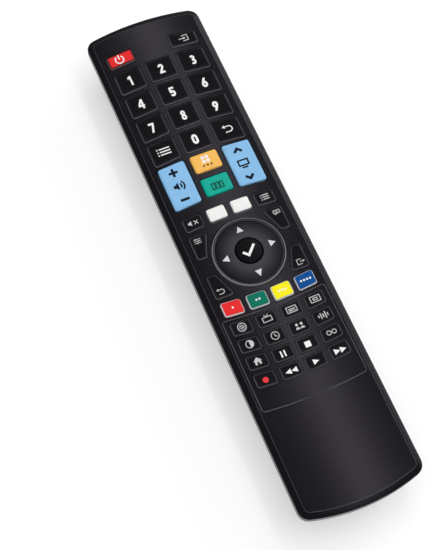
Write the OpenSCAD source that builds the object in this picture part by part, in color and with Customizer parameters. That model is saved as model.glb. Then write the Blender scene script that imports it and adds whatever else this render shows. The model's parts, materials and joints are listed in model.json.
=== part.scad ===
// Universal remote control: a crowned black case with separate moving keys.
// The remote lies on its back. +Z is up out of the face, +Y points to the infrared end.
// The origin is under the middle of the case, on the surface that it lies on. Millimetres.

/* [Case] */
// Width of the case
body_w = 48.6; // [46:0.2:54]
// Length of the case
body_l = 216; // [205:1:235]
// Height of the face above the table, on the centre line
body_h = 22; // [22:0.5:26]
// Radius of the bowed infrared end, seen from above
top_bow_r = 127; // [90:1:250]
// Radius of the bowed battery end, seen from above
bottom_bow_r = 75; // [60:1:200]
// Corner radius of the case, seen from above
corner_r = 4.5; // [4:0.25:7]
// Rise of the crowned face from its edge to the centre line
face_crown = 0.5; // [0.2:0.05:0.8]
// Width of the bevel round the face
bevel_w = 2.4; // [1.5:0.1:2.8]
// Height of the bevel round the face
bevel_drop = 0.8; // [0.5:0.1:1.1]
// Height of the upright skirt below the bevel
skirt_h = 3; // [2.8:0.1:3.4]

/* [Walls] */
// Thickness of the face on the centre line
face_t = 2.2; // [2:0.1:2.4]
// Wall of the front cover's skirt
front_wall = 1.6; // [1.4:0.1:2]
// Wall of the rear cover
rear_wall = 2; // [1.8:0.1:2.4]
// Thickness of the belly
belly_t = 1.7; // [1.5:0.1:2]
// Lean of the rear cover's sides from upright, in degrees
side_draft = 20; // [16:1:22]
// Radius between the rear cover's sides and its belly
bilge_r = 3; // [2:0.5:4]
// Height of the lip that locates the rear cover in the front cover
lip_h = 1.1; // [0.8:0.1:1.3]
// Thickness of that lip
lip_t = 0.85; // [0.7:0.05:1]

/* [Keys] */
// How far a key stands out of the face
key_proud = 0.7; // [0.6:0.1:1.2]
// Travel of a pressed key
key_travel = 0.8; // [0.5:0.1:0.8]
// Corner radius of a key
key_corner_r = 1; // [0.9:0.1:1.3]
// Width of the sloping shoulder round a key's top
shoulder_w = 0.75; // [0.5:0.05:0.85]
// Height of that shoulder
shoulder_h = 0.4; // [0.2:0.05:0.5]
// Flange that keeps a key behind the face
flange_w = 0.6; // [0.4:0.05:0.65]
// Thickness of that flange
flange_t = 0.8; // [0.6:0.1:0.9]
// Radius of the stem that presses the contact
stem_r = 2; // [1.5:0.1:2.2]

/* [Number keys] */
// Distance from the case's sides to the number keys
number_margin = 5.1; // [4.9:0.1:6]
// Gap between number columns
number_gap_x = 2.4; // [2:0.1:3]
// Height of a number key, along the case
number_h = 9.9; // [9:0.1:11]
// Gap between number rows
number_gap_y = 1.75; // [1.6:0.05:2.5]
// Radius of the arc that the number rows follow
number_bow_r = 135; // [120:1:300]
// Height of the power and source keys
power_h = 6; // [5:0.1:7]
// Distance from the infrared end to the power row
power_drop = 11.1; // [10.5:0.1:12]
// Gap between the power row and the first number row
power_gap = 2.85; // [2.2:0.05:4]

/* [Rockers and centre keys] */
// Length of the volume and channel rockers
rocker_h = 19; // [17:0.5:21]
// Gap between the last number row and the rockers
rocker_gap = 1.7; // [1.6:0.05:3]
// Radius of the arc that the rockers follow
rocker_bow_r = 185; // [150:1:300]
// Radius of the ridge that a rocker turns on
fulcrum_r = 1; // [0.8:0.05:1]
// Gap between the two keys between the rockers
centre_gap = 2.85; // [2:0.05:4]
// How far those two keys stop short of the rockers' ends
centre_inset = 0.175; // [0:0.025:0.5]
// Gap between the rockers and the row of four keys above the ring
app_gap = 4.55; // [3:0.05:6]
// Height of the keys in that row
app_h = 5.7; // [5:0.1:6.4]
// Gap between the keys in that row
app_gap_x = 2.25; // [2:0.05:3]
// Radius of the arc that this row follows
app_bow_r = 220; // [180:1:400]

/* [Direction ring] */
// Gap between the row of four and the ring
ring_gap = 2.3; // [2:0.05:4]
// Distance from the case's sides to the ring
ring_margin = 10.15; // [10:0.05:11]
// Width of the raised rim of the ring
rim_w = 1; // [0.8:0.1:1.3]
// Rise of the domed ring from its rim to the OK key
ring_dome = 0.9; // [0.5:0.1:1.2]
// Radius of the OK key, as a share of the ring's radius
ok_share = 0.357; // [0.32:0.001:0.38]
// Radius of the ridges that the ring tilts on
gimbal_r = 1.05; // [0.9:0.05:1.1]
// Distance from the case's sides to the four tapered keys
quad_margin = 5.05; // [4.9:0.05:6]
// Gap between the ring and a tapered key, level with the ring's centre
quad_gap = 1.35; // [1:0.05:2]
// How much wider a tapered key is at its wide end
quad_taper = 3.7; // [2:0.05:4]
// How far the wide ends stop short of the ring's top and bottom
quad_inset = 0.55; // [0.3:0.05:2]
// Distance of the narrow ends from the ring's centre
quad_near = 3.75; // [3.2:0.05:5]

/* [Function keys] */
// Distance from the case's sides to the function keys
small_margin = 5.45; // [5:0.05:6]
// Gap between the function columns
small_gap_x = 2.1; // [1.8:0.05:3]
// Height of a small function key
small_h = 5.4; // [5:0.1:6]
// Gap between the function rows
small_gap_y = 1.75; // [1.6:0.05:2.5]
// Height of a coloured key
colour_h = 6; // [5.4:0.1:6.6]
// Gap between the ring and the coloured row
colour_gap = 2.15; // [2:0.05:4]
// Gap between the coloured row and the first function row
small_gap = 2.7; // [1.6:0.05:4]
// Radius of the arc that the rows below the ring follow
lower_bow_r = 175; // [150:1:400]

/* [Inside] */
// Thickness of the keypad mat
mat_t = 1.4; // [1:0.1:1.5]
// Thickness of the circuit board
board_t = 1.2; // [0.8:0.1:1.2]
// Gap between the board's sides and the rear cover
board_gap = 0.66; // [0.3:0.02:1]
// Distance from the infrared end to the board
board_drop = 10.8; // [10.4:0.1:11.2]
// How far the board reaches past the last row of keys
board_tail = 4.75; // [3:0.25:8]
// How far the mat stops short of the board at the infrared end
mat_inset = 0.9; // [0.5:0.1:1.2]
// Radius of the posts that carry the board
post_r = 2.2; // [1.8:0.1:2.4]
// Radius of the pins that locate the board
pin_r = 0.9; // [0.6:0.05:1]
// Distance of those posts from the board's sides
post_inset_x = 1.9; // [1.6:0.1:2]
// Distance of the end posts from the board's ends
post_inset_y = 4; // [3:0.5:5]
// Height of the ribs across the belly
rib_h = 3.5; // [2:0.5:5]
// Width of the main chip
chip_w = 7.5; // [5:0.5:10]
// Length of the main chip
chip_l = 12; // [8:0.5:14]
// Height of the main chip, and of the legs and resistors in proportion
chip_t = 1.6; // [1:0.1:2]
// Radius of the capacitor
can_r = 2.5; // [1.5:0.1:3]
// Length of the capacitor
can_l = 6; // [4:0.5:8]
// Length of the crystal
crystal_l = 9; // [6:0.5:10]
// Radius of the infrared lamp
led_r = 1.5; // [1.2:0.1:1.5]
// Length of the infrared lamp
led_l = 5.8; // [5:0.1:6]
// Width of the infrared window
window_w = 14; // [10:0.5:18]
// Height of the infrared window
window_h = 2.2; // [1.6:0.1:2.4]

/* [Batteries] */
// Radius of an AAA cell
cell_r = 5.2; // [5:0.05:5.25]
// Length of an AAA cell with its nub
cell_l = 44.5; // [43.5:0.1:44.5]
// Length of a fitted contact spring
spring_l = 6; // [5.5:0.1:6.5]
// Turns of a contact spring
spring_turns = 4; // [3:1:4]
// Radius of the spring wire
wire_r = 0.35; // [0.25:0.05:0.4]
// Distance from the battery end to the bay
bay_inset = 14; // [13.8:0.1:15]
// Wall of the battery bay
bay_wall = 1.2; // [1:0.1:1.4]
// Half width of the battery door
door_half_w = 12.5; // [12.3:0.1:12.6]
// Distance of the door's upper edge below the screw seats, at the battery end
door_lip_drop = 1; // [0.5:0.1:2]
// How far the door lies back from the belly
door_recess = 0.3; // [0.25:0.05:0.5]

/* [Screws] */
// Radius of a screw's head
screw_head_r = 2.1; // [1.8:0.1:2.2]
// Radius of a screw's shank
screw_r = 0.9; // [0.8:0.05:1]
// Length of a screw below its head
screw_l = 9.5; // [8:0.5:10]
// Distance of the screw seats below the parting line
screw_seat_drop = 9.6; // [9:0.1:10]
// Distance below the parting line at which the covers' screw bosses meet
boss_drop = 3.6; // [3:0.1:4.5]
// Distance of the upper screw from the infrared end
upper_screw_drop = 15; // [14.5:0.1:15.5]
// Distance of the two lower screws from the battery end, under the door
lower_screw_rise = 10; // [9.8:0.1:10.2]
// Distance of the lower screws from the centre line
lower_screw_x = 9; // [7:0.5:9.5]

/* [Clearances] */
// Gap between a key and its hole
key_gap = 0.28; // [0.2:0.02:0.35]
// Gap between a tilting key and its hole
tilt_gap = 0.45; // [0.4:0.05:0.5]
// Height that a tilting key needs above its flange
tilt_room = 1.05; // [1:0.05:1.1]
// Gap between a stem and its hole in the mat
stem_gap = 0.3; // [0.2:0.05:0.4]
// Gap between pieces that are fitted together
fit_gap = 0.1; // [0.05:0.05:0.15]
// Gap between sliding pieces
slide_gap = 0.2; // [0.15:0.05:0.3]
// Gap between the cells, and round them
cell_gap = 0.3; // [0.2:0.05:0.4]
// Gap under a ridge that a key tilts on
ridge_gap = 0.05; // [0.03:0.01:0.08]

/* [Hidden] */
$fn = 48;
key_corner_steps = 4;
case_corner_steps = 6;
end_steps = 12;
bilge_steps = 4;
crown_steps = 20;
// Overlap that makes a cut or a join clean
eps = 0.05;

half_w = body_w / 2;
half_l = body_l / 2;
crown_r = ((half_w - bevel_w) ^ 2 + face_crown ^ 2) / (2 * face_crown);
// Height of the crowned face at a distance x from the centre line
function face_z(x) = body_h - crown_r + sqrt(crown_r ^ 2 - x ^ 2);

// Levels, from the face down to the board
part_z = face_z(half_w - bevel_w) - bevel_drop - skirt_h - fit_gap;
ceiling_z = body_h - face_t;
flange_top = ceiling_z - fit_gap;
flange_bottom = flange_top - flange_t;
mat_top = flange_bottom - key_travel - slide_gap;
board_top = mat_top - mat_t;
board_bottom = board_top - board_t;
stem_bottom = board_top + key_travel + fit_gap;

// Columns of keys, fitted to the width of the case
number_w = (body_w - 2 * (number_margin + number_gap_x)) / 3;
number_pitch_x = number_w + number_gap_x;
small_w = (body_w - 2 * small_margin - 3 * small_gap_x) / 4;
small_pitch_x = small_w + small_gap_x;
app_w = small_pitch_x - app_gap_x;
ring_r = half_w - ring_margin;
ok_r = ring_r * ok_share;

// Rows of keys, each placed below the one before
number_pitch_y = number_h + number_gap_y;
small_pitch_y = small_h + small_gap_y;
centre_h = (rocker_h - centre_gap) / 2 - centre_inset;
power_y = half_l - power_drop - power_h / 2;
number_y = power_y - power_gap - (power_h + number_h) / 2;
rocker_y = number_y - 3 * number_pitch_y - rocker_gap - (number_h + rocker_h) / 2;
app_y = rocker_y - app_gap - (rocker_h + app_h) / 2;
ring_y = app_y - ring_gap - app_h / 2 - ring_r;
colour_y = ring_y - ring_r - colour_gap - colour_h / 2;
small_y = colour_y - small_gap - (colour_h + small_h) / 2;

// Tapered keys beside the ring
quad_x = half_w - quad_margin;
quad_narrow = quad_x - ring_r - quad_gap;
quad_wide = quad_narrow + quad_taper;
quad_far = ring_r - quad_inset;

// Board and mat, with the posts that carry them and the ribs between the posts
board_half_w = half_w - rear_wall - (part_z - board_bottom) * tan(side_draft) - board_gap;
board_y1 = half_l - board_drop;
board_y0 = small_y - 3 * small_pitch_y - small_h / 2 - board_tail;
mat_y1 = board_y1 - mat_inset;
post_x = board_half_w - post_inset_x;
post_y1 = board_y1 - post_inset_y;
post_y0 = board_y0 + post_inset_y;
post_places = [for (y = [post_y0, (post_y0 + post_y1) / 2, post_y1], side = [-1, 1]) [side * post_x, y]];
rib_places = [for (share = [1, 3]) post_y0 + (post_y1 - post_y0) * share / 4];
rib_t = rib_h / 4;
pin_h = board_t / 2;

// Direction ring and its seat
gimbal_z = board_top + ridge_gap + gimbal_r;
ring_flange_top = ceiling_z - tilt_room;
ring_bottom = ring_flange_top - flange_t + fit_gap;
ring_bore_r = ok_r + tilt_gap + fit_gap;
ring_pocket_r = ring_bore_r + flange_w + flange_t;
ring_pocket_z = ceiling_z + fit_gap;
ring_well_r = ring_r + flange_w + tilt_gap + fit_gap;
rim_z = body_h + fit_gap;
dome_edge_z = rim_z + ridge_gap;
ok_flange_top = ring_pocket_z - flange_w;
ok_top = dome_edge_z + ring_dome + fit_gap;

// Rockers turn about a line along X at this height
rocker_axis_z = mat_top + ridge_gap + fulcrum_r;
plunger_y = rocker_h / 2 - 1.5 * stem_r;

// Battery bay, with the cells lying along Y
contact_t = 0.4;
cell_x = cell_r + cell_gap;
cell_z = belly_t + cell_gap + cell_r;
bay_y0 = -half_l + bay_inset;
bay_y1 = bay_y0 + cell_l + spring_l + 2 * contact_t + fit_gap;
bay_x = cell_x + cell_r + cell_gap;
bay_top = cell_z + cell_r + cell_gap;
bay_roof_z = (bay_top + board_bottom) / 2;
contact_z0 = belly_t + 1.5;
contact_z1 = bay_top - 0.4;
contact_tab_w = 3;

// Battery door, with runners that hook behind the belly
door_y1 = bay_y1 + 3;
door_lip_z = part_z - screw_seat_drop - door_lip_drop;
runner_z = belly_t + fit_gap;
runner_t = 0.8;
runner_x = door_half_w + 1.1;
door_path_z = runner_z + runner_t + cell_gap;

upper_screw = [0, half_l - upper_screw_drop];
lower_screw_y = lower_screw_rise - half_l;
screw_places = [upper_screw, [-lower_screw_x, lower_screw_y], [lower_screw_x, lower_screw_y]];
screw_seat_z = part_z - screw_seat_drop;
screw_head_h = 1.6;
boss_z = part_z - boss_drop;
boss_r = screw_r + 1.2;
well_r = screw_head_r + stem_gap;
well_wall = 0.8;
shelf_t = 1.6;

// Window in the infrared end
window_z0 = part_z + fit_gap;
window_lip = 1.2;
window_depth = front_wall + 0.8;
led_z = board_top + led_r + fit_gap;

black = "#1b1a1d";
pale_blue = "#97c5ea";

// Helpers

function unit(v) = v / norm(v);

// Points on an arc, leaving out as many at each end as skip says
function arc(centre, r, a0, a1, steps, skip = 0) = [
    for (i = [skip : steps - skip])
        let (a = a0 + (a1 - a0) * i / steps)
        centre + r * [cos(a), sin(a)]
];

function at_height(points, z) = [for (p = points) [p.x, p.y, z]];

// Closed skin through rings of points, lowest ring first, all rings with the same count
module ring_loft(rings) {
    n = len(rings[0]);
    last = len(rings) - 1;
    polyhedron(
        points = [for (ring = rings) each ring],
        faces = concat(
            [[for (i = [0 : n - 1]) i]],
            [
                for (k = [0 : last - 1], i = [0 : n - 1])
                    let (j = (i + 1) % n, low = k * n, high = low + n)
                    each [[low + i, high + i, high + j], [low + i, high + j, low + j]]
            ],
            [[for (i = [n - 1 : -1 : 0]) last * n + i]]
        )
    );
}

// Box from its lowest to its highest corner
module box(low, high) {
    translate(low)
        cube(high - low);
}

module both_sides() {
    children();
    mirror([1, 0, 0])
        children();
}

// Case outline: straight sides, bowed ends and rounded corners

// One end of the outline drawn in by d, from its right corner to its left, with corner radius r
function end_points(bow, d, r) =
    let (fx = half_w - d - r, cy = half_l - bow)
    let (fy = cy + sqrt((bow - d - r) ^ 2 - fx ^ 2))
    let (turn = atan2(fy - cy, fx))
    concat(
        arc([fx, fy], r, 0, turn, case_corner_steps),
        arc([0, cy], bow - d, turn, 180 - turn, end_steps, 1),
        arc([-fx, fy], r, 180 - turn, 180, case_corner_steps)
    );

function outline(d, r) = concat(
    end_points(top_bow_r, d, r),
    [for (p = end_points(bottom_bow_r, d, r)) -p]
);

module case_shape(d) {
    polygon(outline(d, corner_r - d));
}

// Key outlines

// Row of keys that follows an arc of radius bow across the centre line
function row_y(x, y, bow) = y - x ^ 2 / (2 * bow);

function row_key(x, y, w, h, bow) =
    let (x0 = x - w / 2, x1 = x + w / 2)
    let (y0 = row_y(x0, y, bow), y1 = row_y(x1, y, bow))
    [[x1, y1 - h / 2], [x1, y1 + h / 2], [x0, y0 + h / 2], [x0, y0 - h / 2]];

// Tapered key beside the ring, to the right for side 1 and above for up 1
function quad_key(side, up) =
    let (near = ring_y + up * quad_near, far = ring_y + up * quad_far)
    let (corners = [
        [side * quad_x, near],
        [side * quad_x, far],
        [side * (quad_x - quad_wide), far],
        [side * (quad_x - quad_narrow), near]
    ])
    side * up > 0 ? corners : [corners[3], corners[2], corners[1], corners[0]];

function middle(corners) = (corners[0] + corners[1] + corners[2] + corners[3]) / 4;

// Outline through the given corners, rounded by the key radius and then grown
function rounded(corners, grow) = [
    for (i = [0 : 3])
        let (p = corners[i], u = unit(p - corners[(i + 3) % 4]), v = unit(corners[(i + 1) % 4] - p))
        let (turn = acos(u * v), start = atan2(-u.x, u.y))
        let (centre = p + unit(v - u) * key_corner_r / cos(turn / 2))
        each arc(centre, key_corner_r + grow, start, start + turn, key_corner_steps)
];

// Every key: its name, its corners and its colour
number_names = [
    ["key_1", "key_2", "key_3"],
    ["key_4", "key_5", "key_6"],
    ["key_7", "key_8", "key_9"],
    ["guide_key", "key_0", "previous_channel_key"]
];
number_keys = [
    for (row = [0 : 3], col = [0 : 2])
        let (x = (col - 1) * number_pitch_x, y = number_y - row * number_pitch_y)
        [number_names[row][col], row_key(x, y, number_w, number_h, number_bow_r), black]
];

function power_corners(side) =
    row_key(side * number_pitch_x, power_y, number_w, power_h, number_bow_r);
power_keys = [
    ["power_key", power_corners(-1), "#e4474c"],
    ["source_key", power_corners(1), black]
];

function centre_corners(up) =
    row_key(0, rocker_y + up * (centre_h + centre_gap) / 2, number_w, centre_h, rocker_bow_r);
centre_keys = [
    ["content_key", centre_corners(1), "#f0c274"],
    ["menu_key", centre_corners(-1), "#12b3a4"]
];

// A row of four keys about the centre line
function four_x(i) = (i - 1.5) * small_pitch_x;
app_names = ["mute_key", "app_key_left", "app_key_right", "channel_list_key"];
app_colours = [black, "#f4f4f2", "#f4f4f2", black];
app_keys = [
    for (i = [0 : 3])
        [app_names[i], row_key(four_x(i), app_y, app_w, app_h, app_bow_r), app_colours[i]]
];

quad_keys = [
    ["tools_key", quad_key(-1, 1), black],
    ["info_key", quad_key(1, 1), black],
    ["return_key", quad_key(-1, -1), black],
    ["exit_key", quad_key(1, -1), black]
];

colour_names = ["red_key", "green_key", "yellow_key", "blue_key"];
key_colours = ["#e4474c", "#0f8c77", "#f6ea3f", "#1467ad"];
colour_keys = [
    for (i = [0 : 3])
        let (corners = row_key(four_x(i), colour_y, small_w, colour_h, -lower_bow_r))
        [colour_names[i], corners, key_colours[i]]
];

small_names = [
    ["teletext_key", "tv_radio_key", "subtitle_key", "picture_size_key"],
    ["picture_mode_key", "history_key", "family_key", "sound_mode_key"],
    ["home_key", "pause_key", "stop_key", "dual_key"],
    ["record_key", "rewind_key", "play_key", "fast_forward_key"]
];
small_keys = [
    for (row = [0 : 3], i = [0 : 3])
        let (y = small_y - row * small_pitch_y)
        [small_names[row][i], row_key(four_x(i), y, small_w, small_h, -lower_bow_r), black]
];

PRESS_KEYS = concat(
    power_keys, number_keys, centre_keys, app_keys, quad_keys, colour_keys, small_keys
);

function rocker_corners(side) =
    row_key(side * number_pitch_x, rocker_y, number_w, rocker_h, rocker_bow_r);
ROCKERS = [
    ["volume_rocker", rocker_corners(-1), pale_blue],
    ["channel_rocker", rocker_corners(1), pale_blue]
];

// Cap of a key, from height z up to its flat top, with a sloping shoulder round the top
module key_cap(corners, z) {
    top = face_z(middle(corners).x) + key_proud;
    ring_loft([
        at_height(rounded(corners, 0), z),
        at_height(rounded(corners, 0), top - shoulder_h),
        at_height(rounded(corners, -shoulder_w), top)
    ]);
}

// Key that is pressed straight in
module press_key(key) {
    centre = middle(key[1]);
    color(key[2]) {
        key_cap(key[1], flange_top - eps);
        translate([0, 0, flange_bottom])
            linear_extrude(flange_t)
                polygon(rounded(key[1], flange_w));
        translate([centre.x, centre.y, stem_bottom])
            cylinder(r = stem_r, h = flange_bottom - stem_bottom + eps);
    }
}

// Key that tilts on a ridge across its middle, with a plunger under each end
module rocker(key) {
    centre = middle(key[1]);
    ear_x = number_w / 2 + flange_w;
    ear_y = 2.5 * fulcrum_r;
    ear_z = fulcrum_r / 4;
    color(key[2]) {
        key_cap(key[1], rocker_axis_z);
        translate([centre.x, centre.y, rocker_axis_z]) {
            rotate([0, 90, 0])
                cylinder(r = fulcrum_r, h = number_w - 2 * fulcrum_r, center = true);
            box([-ear_x, -ear_y, -ear_z], [ear_x, ear_y, ear_z * 2]);
            for (end = [-1, 1])
                translate([0, end * plunger_y, stem_bottom - rocker_axis_z])
                    cylinder(r = stem_r, h = rocker_axis_z - stem_bottom + eps);
        }
    }
}

// Domed ring with a rounded rim, which tilts to press up, down, left or right
module direction_ring() {
    rim_r = rim_w / 2;
    dome_edge_r = ring_r - rim_w - fit_gap;
    dome_curve = (dome_edge_r ^ 2 - ring_bore_r ^ 2) / (2 * ring_dome);
    dome_steps = 8;
    dome = [
        for (i = [0 : dome_steps])
            let (r = dome_edge_r + (ring_bore_r - dome_edge_r) * i / dome_steps)
            [r, dome_edge_z + (dome_edge_r ^ 2 - r ^ 2) / (2 * dome_curve)]
    ];
    section = concat(
        [
            [ring_pocket_r, ring_bottom],
            [ring_r + flange_w, ring_bottom],
            [ring_r + flange_w, ring_flange_top],
            [ring_r, ring_flange_top]
        ],
        arc([ring_r - rim_r, rim_z], rim_r, 0, 180, 6),
        dome,
        [[ring_bore_r, ring_pocket_z], [ring_pocket_r, ring_pocket_z]]
    );
    color("#4a484c")
        translate([0, ring_y, 0])
            difference() {
                rotate_extrude($fn = 96)
                    polygon(section);
                translate([0, 0, gimbal_z])
                    rotate([90, 0, 0])
                        cylinder(r = gimbal_r + fit_gap, h = 4 * ring_r, center = true);
            }
}

// Soft seat of the ring: it rocks on the ridge below it, and the ring rocks on the ridge above it
module ring_cushion() {
    seat_r = ring_r - 2 * rim_w;
    seat_bore_r = ring_pocket_r + flange_w;
    seat_z1 = gimbal_z - fit_gap;
    seat_z0 = seat_z1 - gimbal_r * 0.3;
    ridge_l = 2 * seat_r - rim_w;
    color("#3a393d")
        translate([0, ring_y, 0])
            difference() {
                union() {
                    translate([0, 0, seat_z0])
                        cylinder(r = seat_r, h = seat_z1 - seat_z0);
                    intersection() {
                        translate([0, 0, gimbal_z])
                            rotate([0, 90, 0])
                                cylinder(r = gimbal_r, h = ridge_l, center = true);
                        box([-ring_r, -ring_r, board_top], [ring_r, ring_r, seat_z1]);
                    }
                    intersection() {
                        translate([0, 0, gimbal_z])
                            rotate([90, 0, 0])
                                cylinder(r = gimbal_r, h = ridge_l, center = true);
                        box([-ring_r, -ring_r, seat_z0], [ring_r, ring_r, ceiling_z]);
                    }
                }
                translate([0, 0, board_top - 1])
                    cylinder(r = seat_bore_r, h = ceiling_z);
            }
}

// Round key in the middle of the ring
module ok_key() {
    edge = shoulder_h;
    flange_r = ring_bore_r + flange_w;
    foot_r = stem_r * 1.5;
    section = [
        [0, stem_bottom],
        [foot_r, stem_bottom],
        [foot_r, ok_flange_top - flange_t],
        [flange_r, ok_flange_top - flange_t],
        [flange_r, ok_flange_top],
        [ok_r, ok_flange_top],
        [ok_r, ok_top - edge],
        [ok_r - edge, ok_top],
        [0, ok_top]
    ];
    color(black)
        translate([0, ring_y, 0])
            rotate_extrude($fn = 72)
                polygon(section);
}

// Front cover: crowned face, even bevel all round and an upright skirt
module front_shell() {
    // The bevel runs on a little past the edge of the face, and the crown then trims it
    run_on = 0.6;
    rise = bevel_drop * run_on / bevel_w;
    crown_turn = asin((half_w + 1) / crown_r);
    edge = outline(0, corner_r);
    crease = outline(bevel_w + run_on, corner_r - bevel_w - run_on);
    intersection() {
        ring_loft([
            at_height(edge, part_z + fit_gap),
            [for (p = edge) [p.x, p.y, face_z(p.x) - bevel_drop]],
            [for (p = crease) [p.x, p.y, face_z(p.x) + rise]],
            at_height(crease, body_h + 1)
        ]);
        rotate([90, 0, 0])
            linear_extrude(body_l + 2, center = true)
                polygon(concat(
                    [[-half_w - 1, 0], [half_w + 1, 0]],
                    arc([0, body_h - crown_r], crown_r, 90 - crown_turn, 90 + crown_turn, crown_steps)
                ));
    }
}

module key_holes() {
    translate([0, 0, ceiling_z - 1])
        linear_extrude(face_t + 2) {
            for (key = PRESS_KEYS)
                polygon(rounded(key[1], key_gap));
            for (key = ROCKERS)
                polygon(rounded(key[1], tilt_gap));
            translate([0, ring_y])
                circle(r = ring_r + tilt_gap, $fn = 96);
        }
}

module front_cover() {
    lip_room = rear_wall - lip_t - slide_gap;
    color(black) {
        difference() {
            front_shell();
            translate([0, 0, part_z])
                linear_extrude(ceiling_z - part_z)
                    case_shape(front_wall);
            translate([0, 0, part_z])
                linear_extrude(lip_h + slide_gap)
                    case_shape(lip_room);
            key_holes();
            box(
                [-window_w / 2 - fit_gap, half_l - 2 * window_depth, part_z - 1],
                [window_w / 2 + fit_gap, half_l + 1, window_z0 + window_h + fit_gap]
            );
        }
        for (place = screw_places)
            translate([place.x, place.y, boss_z])
                difference() {
                    cylinder(r = boss_r, h = ceiling_z - boss_z + eps);
                    translate([0, 0, -1])
                        cylinder(r = screw_r + ridge_gap, h = screw_seat_z + screw_l + 1.5 - boss_z);
                }
    }
}

// Rear cover: leaning sides that round into a flat belly

bilge_z = bilge_r * (1 - sin(side_draft));
belly_inset = (part_z - bilge_z) * tan(side_draft) + bilge_r * cos(side_draft);
// Height and inset of the section, from the belly up to the parting line
rear_section = concat(
    [
        for (i = [0 : bilge_steps])
            let (a = 90 - (90 - side_draft) * i / bilge_steps)
            [bilge_r * (1 - sin(a)), belly_inset - bilge_r * cos(a)]
    ],
    [[part_z, 0]]
);
function rear_corner_r(inset) = corner_r + inset / 2;

module rear_solid() {
    ring_loft([for (s = rear_section) at_height(outline(s[1], rear_corner_r(s[1])), s[0])]);
}

// The hollow keeps the walls' thickness and runs out through the open top
module rear_hollow() {
    lift = (part_z - belly_t) / part_z;
    ring_loft([
        for (s = concat(rear_section, [[part_z + 1, 0]]))
            at_height(outline(s[1] + rear_wall, rear_corner_r(s[1]) - rear_wall), belly_t + s[0] * lift)
    ]);
}

// Walls of the battery bay, posts for the board and the screws, and ribs across the belly
module rear_structure() {
    bay_w = bay_x + bay_wall;
    for (y = [bay_y0 - bay_wall, bay_y1])
        box([-half_w, y, 0], [half_w, y + bay_wall, bay_roof_z]);
    both_sides()
        box([bay_x, bay_y0, belly_t], [bay_w, bay_y1, bay_roof_z]);
    box([-bay_w, bay_y0, bay_top], [bay_w, bay_y1, bay_roof_z]);
    for (place = post_places)
        translate([place.x, place.y, 0]) {
            cylinder(r = post_r, h = board_bottom);
            cylinder(r = pin_r, h = board_top + pin_h);
        }
    translate([upper_screw.x, upper_screw.y, 0])
        cylinder(r = well_r + well_wall, h = screw_seat_z + shelf_t);
    box(
        [-bay_w, -half_l, screw_seat_z],
        [bay_w, bay_y0 - bay_wall + eps, screw_seat_z + shelf_t]
    );
    for (place = screw_places)
        translate([place.x, place.y, screw_seat_z])
            cylinder(r = boss_r, h = boss_z - screw_seat_z);
    for (y = rib_places)
        box([-half_w, y, 0], [half_w, y + rib_t, belly_t + rib_h]);
}

// Space that the door and its runners slide through
module door_path() {
    x = door_half_w + slide_gap;
    y = door_y1 + slide_gap;
    box([-x, -half_l - 1, -1], [x, y, door_path_z]);
    box([-runner_x - slide_gap, -half_l - 1, belly_t], [runner_x + slide_gap, y, door_path_z]);
    box([-x, -half_l - 1, -1], [x, bay_y0 - bay_wall - fit_gap, door_lip_z + slide_gap]);
}

module rear_cover() {
    slot_x = contact_tab_w / 2 + slide_gap;
    color(black)
        difference() {
            union() {
                difference() {
                    rear_solid();
                    rear_hollow();
                }
                intersection() {
                    rear_solid();
                    rear_structure();
                }
                translate([0, 0, part_z - lip_h / 2])
                    linear_extrude(lip_h * 1.5)
                        difference() {
                            case_shape(rear_wall - lip_t);
                            case_shape(rear_wall);
                            translate([-window_w / 2 - window_lip - slide_gap, 0])
                                square([window_w + 2 * (window_lip + slide_gap), body_l]);
                        }
            }
            door_path();
            for (place = screw_places)
                translate([place.x, place.y, -1]) {
                    cylinder(r = well_r, h = screw_seat_z + 1);
                    cylinder(r = screw_r + stem_gap, h = boss_z + 2);
                }
            both_sides()
                box(
                    [cell_x - slot_x, bay_y1 - contact_t - slide_gap, bay_top - eps],
                    [cell_x + slot_x, bay_y1 + slide_gap, board_bottom]
                );
        }
}

// Battery door: a belly panel that wraps up the battery end, with runners, a latch tab and grip bars
module battery_door() {
    tab_x = 2.4;
    tab_y = 2;
    grip_x = door_half_w / 2;
    grip_pitch = 2;
    root = belly_t - 3 * fit_gap;
    runner_y1 = door_y1 - 1.5 * tab_y;
    color(black) {
        difference() {
            intersection() {
                rear_solid();
                box([-door_half_w, -half_l - 1, door_recess], [door_half_w, door_y1, door_lip_z]);
            }
            rear_hollow();
        }
        intersection() {
            rear_solid();
            both_sides() {
                box(
                    [door_half_w - 1, -half_l, runner_z],
                    [runner_x, runner_y1, runner_z + runner_t]
                );
                box([door_half_w - 1, -half_l, root], [door_half_w, runner_y1, runner_z + eps]);
            }
        }
        box([-tab_x, door_y1 - tab_y, runner_z], [tab_x, door_y1 + tab_y, runner_z + runner_t]);
        box([-tab_x, door_y1 - tab_y, root], [tab_x, door_y1 - tab_y / 2, runner_z + eps]);
        for (i = [0 : 4])
            translate([-grip_x, door_y1 - (3 + i) * grip_pitch, door_recess / 6])
                cube([2 * grip_x, grip_pitch / 2, door_recess]);
    }
}

// Keypad mat: a soft sheet with a hole for every stem
module keypad_mat() {
    rocker_middles = [for (key = ROCKERS) middle(key[1])];
    color("#2e2d31")
        translate([0, 0, board_top])
            linear_extrude(mat_t)
                difference() {
                    translate([-board_half_w, board_y0])
                        square([2 * board_half_w, mat_y1 - board_y0]);
                    for (key = PRESS_KEYS)
                        translate(middle(key[1]))
                            circle(r = stem_r + stem_gap);
                    for (centre = rocker_middles, end = [-1, 1])
                        translate(centre + [0, end * plunger_y])
                            circle(r = stem_r + stem_gap);
                    translate([0, ring_y])
                        circle(r = ring_well_r, $fn = 96);
                    for (place = post_places)
                        translate(place)
                            circle(r = pin_r + stem_gap);
                    translate(upper_screw)
                        circle(r = boss_r + tilt_gap);
                }
}

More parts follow.
